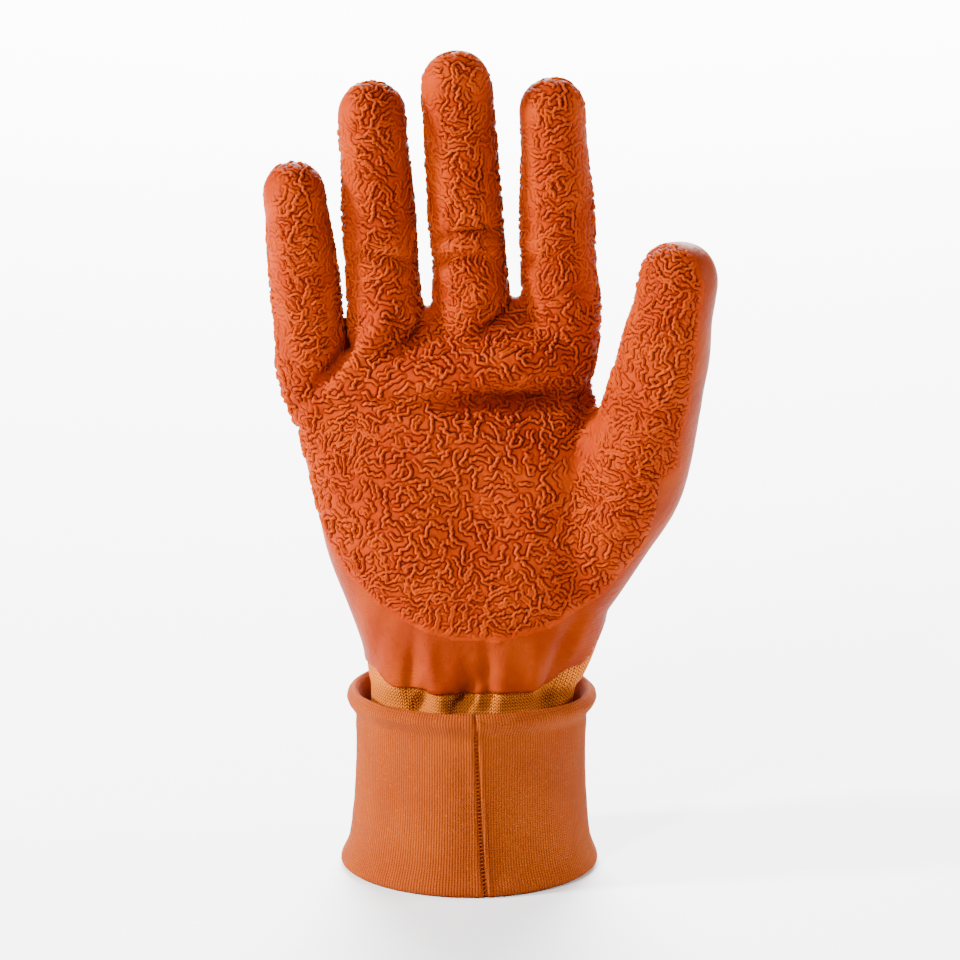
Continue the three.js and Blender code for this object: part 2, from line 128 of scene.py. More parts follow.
class Finish:
    """A material. node() adds a node, sets its settings and then its sockets, and gives an output."""

    def __init__(self, name):
        self.material = bpy.data.materials.new(name)
        self.material.use_nodes = True
        self.material.node_tree.nodes.clear()

    def node(self, kind, settings=None, inputs=None, output=0):
        made = self.material.node_tree.nodes.new(kind)
        for key, value in (settings or {}).items():
            setattr(made, key, value)
        for key, value in (inputs or {}).items():
            if isinstance(value, Value):
                self.material.node_tree.links.new(value.socket, made.inputs[key])
            elif isinstance(value, tuple) and len(value) == 3 and made.inputs[key].type == "RGBA":
                made.inputs[key].default_value = (*value, 1)
            else:
                made.inputs[key].default_value = value
        return Value(self, made.outputs[output])

    def place(self):
        return self.node("ShaderNodeTexCoord", output="Object")

    def round_the_cuff(self, radius):
        """Distance round the cuff and height, both in millimetres."""
        x = self.node("ShaderNodeSeparateXYZ", {}, {0: self.place()}, output=0) - PLACE[0] * MM
        y = self.node("ShaderNodeSeparateXYZ", {}, {0: self.place()}, output=1) - PLACE[1] * MM
        z = self.node("ShaderNodeSeparateXYZ", {}, {0: self.place()}, output=2)
        return y.math("ARCTAN2", x) * radius, z * 1000

    def noise(self, scale, detail=2.0):
        return self.node("ShaderNodeTexNoise", {}, {"Scale": scale, "Detail": detail, "Vector": self.place()})

    def mix(self, share, a, b):
        """Colour a, and b in its place by share."""
        return self.node("ShaderNodeMix", {"data_type": "RGBA"}, {0: share, 6: a, 7: b}, output=2)

    def bump(self, height, depth):
        """Low relief as a normal. depth is how high a height of 1 stands, in metres."""
        return self.node("ShaderNodeBump", {}, {"Height": height, "Distance": depth, "Strength": 1.0})

    def finish(self, **sockets):
        named = {key.replace("_", " "): value for key, value in sockets.items()}
        shader = self.node("ShaderNodeBsdfPrincipled", {}, named)
        out = self.material.node_tree.nodes.new("ShaderNodeOutputMaterial")
        self.material.node_tree.links.new(shader.socket, out.inputs["Surface"])
        return self.material


def orange(light, warmth=0.085, blue=0.002):
    """A rubber or cotton orange: how light it is, then how much green and blue it has for that."""
    return light, light * warmth, light * blue


def mesh_object(name, points, faces, material, values=None, normals=None):
    """An object from points in millimetres and faces of four corners, with values held at its points."""
    mesh = bpy.data.meshes.new(name)
    mesh.vertices.add(len(points))
    mesh.vertices.foreach_set("co", ((points + PLACE) * MM).astype(np.float32).ravel())
    mesh.loops.add(faces.size)
    mesh.loops.foreach_set("vertex_index", faces.astype(np.int32).ravel())
    mesh.polygons.add(len(faces))
    mesh.polygons.foreach_set("loop_start", np.arange(0, faces.size, faces.shape[1], dtype=np.int32))
    mesh.update(calc_edges=True)
    mesh.polygons.foreach_set("use_smooth", np.ones(len(faces), bool))
    for key, value in (values or {}).items():
        kind = "FLOAT" if value.ndim == 1 else "FLOAT_VECTOR"
        field = mesh.attributes.new(key, kind, "POINT")
        field.data.foreach_set("value" if value.ndim == 1 else "vector", value.astype(np.float32).ravel())
    mesh.materials.append(material)
    if normals is not None:
        mesh.normals_split_custom_set_from_vertices(normals)
    made = bpy.data.objects.new(name, mesh)
    bpy.context.scene.collection.objects.link(made)
    return made


def grid_faces(rows, columns, loop=True):
    """Faces of a grid whose points run round each row, and close round it if loop."""
    row, column = np.meshgrid(np.arange(rows - 1), np.arange(columns if loop else columns - 1), indexing="ij")
    a = row * columns + column
    b = row * columns + (column + 1) % columns
    return np.stack([a, b, b + columns, a + columns], -1).reshape(-1, 4)


paper = Finish("floor_paper")
floor_material = paper.finish(Base_Color=(0.9, 0.9, 0.9), Roughness=0.6)
FLOOR_REACH = 6000.0
floor_corners = FLOOR_REACH * np.array([[-1, -1, 0], [1, -1, 0], [1, 1, 0], [-1, 1, 0]])
floor = mesh_object("floor", floor_corners, np.array([[0, 1, 2, 3]]), floor_material)

# Knitted liner. A seamless glove of light orange cotton knit, made to the shape of a hand and gathered
# into the cuff at its hem. It is bare only between the cuff and the smooth latex, and inside. Both
# dips follow its form, which is skinned over the same rows as the CAD, joined, remeshed and smoothed.
CUFF_HEIGHT, CUFF_WIDTH, CUFF_DEPTH, CUFF_WALL, CUFF_FLARE, CUFF_LEAN = 61.5, 76.4, 71.0, 2.6, 4.4, 1.0
PALM_WIDTH, PALM_DEPTH, PALM_HEIGHT, HEM_DROP = 104.0, 38.0, 124.0, 31.5
WRIST_EASE_SIDE, WRIST_EASE_FRONT, GATHER_DEPTH, DENT_DEPTH, SQUARENESS = 1.3, 5.3, 3.6, 4.0, 2.4
FINGER_LENGTH, FINGER_WIDTH, FINGER_DEPTH = 94.5, 25.8, 23.8
LATEX_WALL, LAYER_GAP, LINER_WALL, SEAT_FLARE = 0.9, 0.3, 1.2, 0.1
# across, up, length, width, depth, lean, curl, taper: little, ring, middle and index finger
FINGERS = [
    (-0.494, 0.89, 0.778, 0.946, 0.945, -5.7, 13, 0.08),
    (-0.263, 1.0, 0.931, 0.984, 0.975, -3.5, 12, 0.03),
    (0.013, 1.03, 1.0, 1.0, 1.0, -3.7, 11, 0.0),
    (0.294, 1.03, 0.899, 1.016, 1.0, -2.3, 12, 0.09),
]
# along, width, depth
FINGER_SECTIONS = [
    (-0.22, 0.76, 0.8), (0, 0.99, 1.0), (0.13, 0.95, 1.03), (0.26, 0.915, 0.9), (0.42, 0.93, 0.97),
    (0.74, 0.88, 0.89),
]
THUMB_ROOT = (0.288, 0.1, 0.23)
THUMB_RISE, THUMB_REACH, THUMB_FORWARD, THUMB_WIDTH, THUMB_DEPTH = 132.0, 41.5, 20.0, 33.0, 31.0
# rise, out, forward, width, depth
THUMB_SECTIONS = [
    (0, 0, 0, 0.8, 0.74), (0.121, 0.22, 0.08, 0.9, 0.9), (0.234, 0.405, 0.2, 0.97, 0.98),
    (0.34, 0.569, 0.33, 1.045, 1.03), (0.438, 0.66, 0.45, 1.045, 1.02), (0.62, 0.79, 0.67, 0.935, 0.95),
    (0.726, 0.86, 0.79, 0.935, 0.95), (0.83, 0.915, 0.89, 0.86, 0.87),
]
# height, left, right, front, back, tilt, gather
PALM_SECTIONS = [
    (0.045, 0.333, 0.38, 0.7, 0.67, 0, 0.9), (0.125, 0.346, 0.42, 0.665, 0.63, 0, 0.5),
    (0.24, 0.39, 0.45, 0.64, 0.59, 0, 0.15), (0.38, 0.453, 0.47, 0.63, 0.54, 0, 0),
    (0.52, 0.49, 0.47, 0.62, 0.51, 0, 0), (0.655, 0.528, 0.45, 0.59, 0.49, 0, 0),
    (0.755, 0.54, 0.415, 0.52, 0.47, 0.01, 0), (0.83, 0.545, 0.39, 0.43, 0.44, 0.03, 0),
    (0.91, 0.54, 0.385, 0.47, 0.4, 0.05, 0), (0.985, 0.48, 0.36, 0.32, 0.3, 0.07, 0),
]
# angle, depth, spread
GATHERS = [(-120, 0.9, 9), (-90, 0.7, 8), (-40, 1.0, 9), (40, 0.65, 10), (80, 0.8, 9), (130, 0.7, 10)]
# across, height, wide, tall, depth
PALM_DENTS = [(0.24, 0.8, 0.2, 0.09, 1.0), (0.02, 0.55, 0.16, 0.16, 0.8), (-0.42, 0.8, 0.1, 0.08, 0.6)]


def through(rows, steps):
    """Rows of numbers with steps - 1 more between each two, on a smooth curve through them all."""
    rows = np.array(rows, float)
    ends = np.vstack([2 * rows[0] - rows[1], rows, 2 * rows[-1] - rows[-2]])
    out = []
    for i in range(len(rows) - 1):
        a, b, c, d = ends[i:i + 4]
        for t in np.arange(steps) / steps:
            out.append(0.5 * (2 * b + (c - a) * t + (2 * a - 5 * b + 4 * c - d) * t**2
                              + (3 * b - a - 3 * c + d) * t**3))
    return np.array([*out, rows[-1]])


def closed_skin(rings):
    """Points and faces of a body skinned over rings, each end closed by a fan."""
    rings = np.array(rings)
    count, sides = rings.shape[:2]
    points = np.vstack([rings.reshape(-1, 3), rings[0].mean(0), rings[-1].mean(0)])
    side = np.arange(sides)
    after = (side + 1) % sides
    last = (count - 1) * sides
    low = np.stack([after, side, np.full(sides, len(points) - 2)], 1)
    high = np.stack([last + side, last + after, np.full(sides, len(points) - 1)], 1)
    return points, [*grid_faces(count, sides).tolist(), *low.tolist(), *high.tolist()]


def limb_skin(centres, widths, depths, grow, sides=44):
    """Points and faces of a round limb along a line. grow sets its face off."""
    along = np.gradient(centres, axis=0)
    along /= np.linalg.norm(along, axis=1, keepdims=True)
    across = np.cross([0.0, 1.0, 0.0], along)
    across /= np.linalg.norm(across, axis=1, keepdims=True)
    inward = np.cross(along, across)
    turn = 2 * np.pi * np.arange(sides) / sides
    rings = (
        centres[:, None]
        + across[:, None] * ((widths / 2 + grow)[:, None] * np.cos(turn))[..., None]
        + inward[:, None] * ((depths / 2 + grow)[:, None] * np.sin(turn))[..., None]
    )
    return closed_skin(rings)


def round_end(place, length, last, grow):
    """Rows of a limb's round end: how far along it each lies, and its share of the last width."""
    back = 1 - np.sin(np.linspace(0.0, 1.0, 12) * np.pi / 2 * 0.985)
    size = np.sqrt(1 - (1 - back) ** 2) ** 0.92
    along = 1 - back * (last / 2) / length + grow / length
    return np.array([place(a) for a in along]), size


def finger_line(finger):
    """A function for the places along a finger's middle, and its length, width and depth."""
    across, up, length, width, depth, lean, curl, _ = finger
    length = length * FINGER_LENGTH
    lean = math.radians(lean)

    def place(along):
        bend = math.radians(curl) * max(along, 0)
        forward = along * length * bend / 2
        rise = along * length - forward * bend / 3
        x = across * PALM_WIDTH + rise * math.sin(lean)
        return np.array([x, -forward, CUFF_HEIGHT + up * PALM_HEIGHT + rise * math.cos(lean)])

    return place, length, width * FINGER_WIDTH, depth * FINGER_DEPTH


def finger_skin(finger, grow):
    place, length, width, depth = finger_line(finger)
    rows = through(FINGER_SECTIONS, 8)
    rows[:, 1] *= 1 - finger[-1] * np.clip((rows[:, 0] - 0.45) / 0.3, 0, 1)
    last = rows[-1, 1] * width
    rows = rows[rows[:, 0] < 1 - last / 2 / length - 0.01]
    ends, size = round_end(place, length, last, grow)
    centres = np.vstack([[place(a) for a in rows[:, 0]], ends])
    widths = np.concatenate([rows[:, 1] * width, size * last])
    depths = np.concatenate([rows[:, 2] * depth, size * rows[-1, 2] * depth])
    return limb_skin(centres, widths, depths, grow)


def thumb_skin(grow):
    rows = through(THUMB_SECTIONS, 7)
    rows[:, 3] *= 1 - 0.09 * np.clip((rows[:, 0] - 0.6) / 0.2, 0, 1)
    across, front, up = THUMB_ROOT
    root = np.array([across * PALM_WIDTH, -front * PALM_DEPTH, CUFF_HEIGHT + up * PALM_HEIGHT])
    reach = np.array([THUMB_REACH, -THUMB_FORWARD, THUMB_RISE])
    centres = root + rows[:, [1, 2, 0]] * reach
    last_rise = THUMB_SECTIONS[-1][0]
    top = root + reach
    last = rows[-1, 3] * THUMB_WIDTH
    base = centres[-1]
    ends, size = round_end(
        lambda a: base + (top - base) * (a - last_rise) / (1 - last_rise), THUMB_RISE, last, grow,
    )
    keep = centres[:, 2] < ends[0, 2] - 0.5
    centres = np.vstack([centres[keep], ends])
    widths = np.concatenate([rows[keep, 3] * THUMB_WIDTH, size * last])
    depths = np.concatenate([rows[keep, 4] * THUMB_DEPTH, size * rows[-1, 4] * THUMB_DEPTH])
    return limb_skin(centres, widths, depths, grow)


def palm_skin(grow, sides=200):
    """Points and faces of the palm and wrist, from the hem that sits inside the cuff."""
    seat_x = CUFF_WIDTH / 2 + SEAT_FLARE * CUFF_FLARE - CUFF_WALL
    seat_y = CUFF_DEPTH / 2 + SEAT_FLARE * CUFF_FLARE - CUFF_WALL
    hem = CUFF_HEIGHT - HEM_DROP
    # the liner lies a gap inside the cuff, and the latex's face a gap and a wall outside the liner
    hem_x = seat_x - LAYER_GAP + LATEX_WALL + LAYER_GAP
    hem_y = seat_y - LAYER_GAP + LATEX_WALL + LAYER_GAP
    ease_x, ease_y = seat_x - WRIST_EASE_SIDE, seat_y - WRIST_EASE_FRONT
    # left, right, front, back, height, lift, gather, square
    rows = [
        (hem_x - 0.5, hem_x + 0.5, hem_y, hem_y, hem, 0, 0, 2),
        (ease_x, ease_x, ease_y, ease_y, hem + 0.38 * HEM_DROP, 0, 0.8, 2),
        (0.97 * ease_x, 1.05 * ease_x, 0.96 * ease_y, 0.94 * ease_y, hem + HEM_DROP, 0, 1, 2),
    ]
    for height, left, right, front, back, tilt, gather in PALM_SECTIONS:
        rows.append((left * PALM_WIDTH, right * PALM_WIDTH, front * PALM_DEPTH, back * PALM_DEPTH,
                     CUFF_HEIGHT + height * PALM_HEIGHT, tilt * PALM_HEIGHT, gather, SQUARENESS))
    end = np.array(rows[-1])
    for share, rise in ((0.9, 2.5), (0.7, 4.2), (0.4, 5.2)):
        rows.append((*(end[:4] * share), end[4] + rise, *end[5:]))
    turn = 2 * np.pi * np.arange(sides) / sides
    c, s = np.cos(turn), np.sin(turn)
    gathers = np.zeros(sides)
    for angle, depth, spread in GATHERS:
        away = np.angle(np.exp(1j * (turn - math.radians(angle))))
        gathers += depth * GATHER_DEPTH * np.exp(-((away / math.radians(spread)) ** 2))
    rings = []
    for left, right, front, back, z, lift, gather, square in through(rows, 8):
        out = grow - max(gather, 0) * gathers
        x = (np.where(c > 0, right, left) + out) * np.sign(c) * np.abs(c) ** (2 / square)
        dent = np.zeros(sides)
        for across, height, wide, tall, depth in PALM_DENTS:
            near = np.exp(-(((x - across * PALM_WIDTH) / (wide * PALM_WIDTH)) ** 2))
            near *= np.exp(-(((z - CUFF_HEIGHT - height * PALM_HEIGHT) / (tall * PALM_HEIGHT)) ** 2))
            dent += depth * DENT_DEPTH * near * (s < 0)
        y = (np.where(s > 0, back, front) - dent + out) * np.sign(s) * np.abs(s) ** (2 / square)
        rings.append(np.stack([x, y, z + lift * c], 1))
    return closed_skin(rings)


def modified(points, faces, kind, settings):
    """Points and four-cornered faces of a mesh after one modifier."""
    mesh = bpy.data.meshes.new("rough_form")
    mesh.from_pydata(points.tolist(), [], faces)
    rough = bpy.data.objects.new("rough_form", mesh)
    bpy.context.scene.collection.objects.link(rough)
    modifier = rough.modifiers.new("shape", kind)
    for key, value in settings.items():
        setattr(modifier, key, value)
    made = rough.evaluated_get(bpy.context.evaluated_depsgraph_get()).to_mesh()
    out = np.zeros(len(made.vertices) * 3)
    made.vertices.foreach_get("co", out)
    corners = np.zeros(len(made.loops), np.int64)
    made.loops.foreach_get("vertex_index", corners)
    bpy.data.objects.remove(rough)
    return out.reshape(-1, 3), corners.reshape(-1, 4)


def remeshed(parts, voxel):
    """One even skin of four-cornered faces round all the parts."""
    points, faces, start = [], [], 0
    for part_points, part_faces in parts:
        points.append(part_points)
        faces.extend([[i + start for i in face] for face in part_faces])
        start += len(part_points)
    settings = {"mode": "VOXEL", "voxel_size": voxel * MM}
    points, faces = modified(np.vstack(points) * MM, faces, "REMESH", settings)
    return points / MM, faces


def links(faces):
    """The edges of a mesh, each once, as two rows of point numbers."""
    pairs = np.sort(np.concatenate([faces, np.roll(faces, -1, 1)], 0).reshape(2, -1).T, axis=1)
    pairs = np.unique(pairs, axis=0)
    return pairs[:, 0], pairs[:, 1]


def spread_over(field, a, b, count):
    """Each point's mean over its neighbours."""
    degree = np.bincount(a, minlength=count) + np.bincount(b, minlength=count)
    if field.ndim == 1:
        total = np.bincount(a, field[b], count) + np.bincount(b, field[a], count)
        return total / np.maximum(degree, 1)
    return np.stack([spread_over(field[:, k], a, b, count) for k in range(field.shape[1])], 1)


def point_normals(points, faces):
    across = np.cross(points[faces[:, 2]] - points[faces[:, 0]], points[faces[:, 3]] - points[faces[:, 1]])
    total = np.zeros_like(points)
    for k in range(3):
        for corner in range(4):
            total[:, k] += np.bincount(faces[:, corner], across[:, k], len(points))
    return total / np.maximum(np.linalg.norm(total, axis=1, keepdims=True), 1e-12)


def smoothed(points, faces, times, hollows=0, where=None):
    """Smooths a mesh, then fills its sharp hollows, each a number of times. where gives their share."""
    a, b = links(faces)
    for step in range(times + hollows):
        move = spread_over(points, a, b, len(points)) - points
        if step >= times:
            out = (move * point_normals(points, faces)).sum(1)
            move *= (np.clip(out * 9, 0, 1) * (where(points) if where else 1))[:, None]
        points = points + 0.6 * move
    return points


def eased(value):
    """0 to 1 with a soft start and end."""
    value = np.clip(value, 0, 1)
    return value * value * (3 - 2 * value)


WEB_MIDDLE, WEB_HALF_HEIGHT, WEB_WIDTH, WEB_DEPTH = (-12.6, -1.5, 181.0), 13.5, 13, 17


def web_skin(grow):
    """The web between the ring and middle finger, which stands higher than their roots."""
    turn = np.linspace(0.05, np.pi - 0.05, 16)
    centres = np.array(WEB_MIDDLE) + np.stack([0 * turn, 0 * turn, -WEB_HALF_HEIGHT * np.cos(turn)], 1)
    return limb_skin(centres, WEB_WIDTH * np.sin(turn), WEB_DEPTH * np.sin(turn), grow)


FILL_VOXEL, FILL_ROUNDS, FILL_SINK = 2.2, 70, 0.4


def by_the_thumb(points):
    """1 at the thumb's root and 0 away from it."""
    return eased((points[:, 0] - 20) / 10) * eased((176 - points[:, 2]) / 12)


def hand_parts(grow):
    """The hand's parts, and a body that fills the fold between the thumb and the palm."""
    parts = [palm_skin(grow), *[finger_skin(finger, grow) for finger in FINGERS], thumb_skin(grow)]
    points, faces = remeshed([parts[0], parts[-1]], FILL_VOXEL)
    points = smoothed(points, faces, times=4, hollows=FILL_ROUNDS, where=by_the_thumb)
    points = points - FILL_SINK * point_normals(points, faces)
    return [*parts, web_skin(grow), (points, faces.tolist())]


VOXEL = 0.67
FORM_PARTS = hand_parts(0.0)


def hashed(ix, iy, iz, seed):
    """A whole number that looks random for each place in a lattice."""
    h = (ix * 374761393 + iy * 668265263 + iz * 2147483647 + seed * 1274126177) & 0xFFFFFFFF
    h = ((h ^ (h >> 13)) * 1103515245) & 0xFFFFFFFF
    h = ((h ^ (h >> 16)) * 2654435761) & 0xFFFFFFFF
    return (h ^ (h >> 15)) & 0xFFFFFF


def rolling(points, wave, seed):
    """Smooth random ups and downs of about -1 to 1, with features about one wave long."""
    p = points / wave
    base = np.floor(p).astype(np.int64)
    f = p - base
    u = f * f * f * (f * (f * 6 - 15) + 10)
    total = np.zeros(len(p))
    for corner in range(8):
        d = np.array([corner & 1, corner >> 1 & 1, corner >> 2 & 1])
        h = hashed(base[:, 0] + d[0], base[:, 1] + d[1], base[:, 2] + d[2], seed)
        angle = h * (2 * np.pi / 0x1000000)
        z = ((h * 7919) % 65536) / 32768.0 - 1
        s = np.sqrt(1 - z * z)
        gradient = np.stack([s * np.cos(angle), s * np.sin(angle), z], 1)
        total += np.prod(np.where(d == 1, u, 1 - u), axis=1) * ((f - d) * gradient).sum(1)
    return total * 1.6


def photo_place(points):
    """Where points lie in the photograph's plane: across and up, in millimetres."""
    return points[:, 0], points[:, 2] * math.cos(TILT) + points[:, 1] * math.sin(TILT)


def at_pixel(px, py):
    """Where a pixel of the photograph lies in that plane."""
    return (px - FOOT_ACROSS) / PIXELS_PER_MM, (FOOT_DOWN - py) / PIXELS_PER_MM


# Folds that the photograph shows on the palm side: pixel across and down, how the fold runs in
# degrees from level, half its length and half its width in millimetres, and its height.
FOLDS = [
    (515, 401, 3, 30, 4.4, -4.8), (590, 402, 62, 12, 3.6, -3.6), (505, 364, 4, 36, 6.0, 2.3),
    (505, 440, 0, 36, 9, 1.3), (470, 236, 8, 11, 2.2, -2.9), (463, 248, 4, 10, 2.6, 1.9),
    (463, 263, 0, 12, 2.6, -2.3), (385, 260, -10, 10, 2.4, -1.9), (388, 275, -8, 9, 2.2, 1.3),
    (560, 262, -6, 10, 2.4, -1.1), (558, 276, -4, 9, 2.2, 0.6), (575, 290, 0, 2.4, 2.0, -1.2),
    (366, 348, 56, 13, 3.4, 3.6), (334, 368, 44, 12, 3.0, -3.4), (292, 412, 35, 6, 2.4, -2.0),
    (417, 334, 48, 9, 2.6, -2.8), (478, 300, 40, 8, 3.2, 1.8), (495, 323, 38, 8, 2.4, -2.6),
    (470, 300, 0, 10, 3.5, -0.8), (395, 335, 70, 8, 2.6, -1.4), (530, 318, -60, 8, 2.6, -1.0),
    (300, 300, 5, 8, 2.2, -0.8), (640, 440, 60, 24, 8, 1.6),
    (412, 668, 85, 10, 2.0, -1.4), (431, 668, 95, 10, 2.2, 0.9), (488, 682, 92, 11, 2.2, -1.9),
    (503, 675, 86, 9, 3.0, 0.8), (560, 655, 68, 13, 2.4, -1.8), (577, 640, 62, 13, 2.6, 1.0),
    (535, 672, 80, 8, 2.6, 0.7), (455, 676, 88, 8, 3.0, 0.6), (380, 640, 70, 12, 3.0, -0.8),
    (420, 703, 75, 5, 2.0, -2.2), (440, 702, 82, 6, 2.2, 1.0), (463, 703, 62, 7, 2.2, -2.4),
    (478, 700, 62, 7, 2.4, 0.9), (548, 690, 66, 8, 2.0, -1.3),
]


def fold_heights(points, normals):
    """How far the folds lift each point that faces the camera."""
    across, up = photo_place(points)
    facing = np.clip(-normals[:, 1] * 1.5, 0, 1)
    height = np.zeros(len(points))
    for px, py, angle, long, wide, tall in FOLDS:
        x, z = at_pixel(px, py)
        c, s = math.cos(math.radians(angle)), math.sin(math.radians(angle))
        u = (across - x) * c + (up - z) * s
        v = (up - z) * c - (across - x) * s
        height += tall * np.exp(-((u / long) ** 2) - (v / wide) ** 2)
    return height * facing


FORM_ROLL = 0.35


def hand_form(voxel, rounds, hollows):
    """The outer face of the hand, folds and all: its points, faces and normals."""
    points, faces = remeshed(FORM_PARTS, voxel)
    points = smoothed(points, faces, rounds, hollows)
    normals = point_normals(points, faces)
    lift = fold_heights(points, normals) + FORM_ROLL * rolling(points, 17, 3)
    points = points + normals * lift[:, None]
    return points, faces, point_normals(points, faces)


def kept_part(points, faces, inside):
    """The faces whose corners are mostly inside, with their own point list. inside is above 0 there."""
    chosen = faces[inside[faces].mean(1) > 0]
    used = np.unique(chosen)
    number = np.full(len(points), -1)
    number[used] = np.arange(len(used))
    return used, number[chosen]


# The waved edge of the smooth latex, which the liner runs on under.
DIP_ABOVE_CUFF, DIP_WAVE = 6.0, 12.0
# angle, rise
DIP_EDGE = [
    (-180, 0.47), (-158, 0.4), (-138, 0), (-90, -0.05), (-50, 0), (-38, 0.09), (-22, 0.55), (-5, 1.45),
    (5, 1.62), (45, 1.1), (90, 0.35), (135, 0.35), (180, 0.47),
]


def dip_height(points):
    """How far points lie above the edge of the smooth latex."""
    angle = np.degrees(np.arctan2(points[:, 1], points[:, 0]))
    stops = np.array(DIP_EDGE)
    after = np.clip(np.searchsorted(stops[:, 0], angle, side="right"), 1, len(stops) - 1)
    share = eased((angle - stops[after - 1, 0]) / (stops[after, 0] - stops[after - 1, 0]))
    rise = stops[after - 1, 1] + (stops[after, 1] - stops[after - 1, 1]) * share
    wander = 0.6 * rolling(points * [1, 1, 0], 9, 8)
    return points[:, 2] - (CUFF_HEIGHT + DIP_ABOVE_CUFF + DIP_WAVE * rise + wander)


LINER_UNDER_DIP, LINER_SINK, INNER_SINK, HEM_TRIM = 3.0, 0.75, 0.5, 0.8
form, form_faces, form_normals = hand_form(1.0, rounds=9, hollows=20)
above_dip = dip_height(form)
hem_line = CUFF_HEIGHT - HEM_DROP + HEM_TRIM
outside = np.minimum(LINER_UNDER_DIP - above_dip, form[:, 2] - hem_line)
used, liner_faces = kept_part(form, form_faces, outside)
liner_points = (form - form_normals * LINER_SINK)[used]
inner, inner_faces = remeshed(hand_parts(-LATEX_WALL - LAYER_GAP - LINER_WALL), 1.9)
inner_normals = point_normals(inner, inner_faces)
inner = inner + inner_normals * (np.minimum(fold_heights(inner, inner_normals), 0) - INNER_SINK)[:, None]
inner_used, inner_faces = kept_part(inner, inner_faces, inner[:, 2] - hem_line)
inner = inner[inner_used]

knit = Finish("liner_knit")
KNIT_RADIUS, WALES, COURSE = 36, 156, 1.12
across, upward = knit.round_the_cuff(KNIT_RADIUS)
WALE = 2 * math.pi * KNIT_RADIUS / WALES
leg = (across / WALE).math("FRACT") - 0.5
lean = leg.math("ABSOLUTE")
stitch = ((upward / COURSE + lean * 1.7).math("FRACT") - 0.5).math("ABSOLUTE")
loop_height = (1 - stitch * 1.6) * (1 - ((lean * 2 - 0.55).math("ABSOLUTE")) * 1.4)
hole_shade = (1 - loop_height * 1.6).held()
speck = knit.noise(900, 2)
# Painted shade: the holes between the loops are coloured dark, darker where the loops lie lower.
tone = knit.mix((hole_shade * 1.3).held(), orange(0.95, 0.25, 0.01), orange(0.06, 0.07, 0.003))
tone = knit.mix(((speck - 0.58) * 6).held() * 0.35, tone, orange(0.12, 0.3, 0.1))
knit_material = knit.finish(
    Base_Color=tone, Roughness=0.92, Specular_IOR_Level=0.1,
    Normal=knit.bump(loop_height, 0.0006),
)
liner_points = np.vstack([liner_points, inner])
liner_all = np.vstack([liner_faces, inner_faces[:, ::-1] + len(used)])
liner = mesh_object("knit_glove", liner_points, liner_all, knit_material)
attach(liner, "root")
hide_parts("knit_liner")

# Smooth latex. The first dip, a soft orange rubber skin about a millimetre thick that ends in a thin
# waved edge above the cuff. It takes a faint print of the knit under it. The grip latex covers it in
# front, down to a bow across the heel of the palm and round past the middle of each finger's side.
GRIP_ABOVE_CUFF, GRIP_BOW, GRIP_HALF_WIDTH, GRIP_MIDDLE = 24.0, 54.5, 58.0, 5.0
GRIP_WRAP, THUMB_GRIP_TURN = 3.0, 51
SPLIT = 45.0


def grip_depth(points):
    """How far points lie inside the edge of the grip latex. The thumb's outer side is outside it."""
    x, y, z = points.T
    off = np.abs(x - GRIP_MIDDLE)
    shoulder = CUFF_HEIGHT + GRIP_ABOVE_CUFF + GRIP_BOW
    inside = np.clip(off / GRIP_HALF_WIDTH, 0, 1)
    bow = shoulder - GRIP_BOW * np.sqrt(1 - inside**2) + np.maximum(off - GRIP_HALF_WIDTH, 0)
    place, _, _, _ = finger_line(FINGERS[2])
    line = np.array([place(a) for a in np.linspace(0, 1, 30)])
    hand = np.interp(z, line[:, 2], line[:, 1]) + GRIP_WRAP - y
    knuckle = THUMB_SECTIONS[6]
    kx = THUMB_ROOT[0] * PALM_WIDTH + knuckle[1] * THUMB_REACH
    ky = -THUMB_ROOT[1] * PALM_DEPTH - knuckle[2] * THUMB_FORWARD
    angle = math.radians(THUMB_GRIP_TURN)
    thumb = -(math.sin(angle) * (x - kx) + math.cos(angle) * (y - ky))
    side = np.where(x < SPLIT, hand, thumb)
    return np.minimum(z - bow, side) + 0.7 * rolling(points, 6, 14)


def rim(faces):
    """The open edges of a part: two rows of point numbers, in the order of their faces."""
    edges = np.stack([faces, np.roll(faces, -1, 1)], -1).reshape(-1, 2)
    low, high = edges.min(1), edges.max(1)
    ident = low * (faces.max() + 1) + high
    _, place, count = np.unique(ident, return_index=True, return_counts=True)
    return edges[place[count == 1]]


def with_lip(points, faces, edges, drop):
    """Folds a part's open edges inwards by drop, so that its wall shows."""
    ring = np.unique(edges)
    number = np.full(len(points), -1)
    number[ring] = len(points) + np.arange(len(ring))
    lip = np.stack([edges[:, 1], edges[:, 0], number[edges[:, 0]], number[edges[:, 1]]], 1)
    return np.vstack([points, points[ring] + drop[ring]]), np.vstack([faces, lip])


UNDER_GRIP = 5  # how far the smooth latex runs on under the grip latex
in_grip = grip_depth(form)
used, latex_faces = kept_part(form, form_faces, np.minimum(above_dip, UNDER_GRIP - in_grip))
latex_points = form[used].copy()
edges = rim(latex_faces)
near_dip = (np.abs(above_dip[used]) < 3) & (form[used][:, 2] < 100)
edges = edges[near_dip[edges].all(1)]
ring = np.unique(edges)
latex_points[ring, 2] -= above_dip[used][ring]
latex_normals = form_normals[used]
latex_points, latex_faces = with_lip(latex_points, latex_faces, edges, -latex_normals * LATEX_WALL)

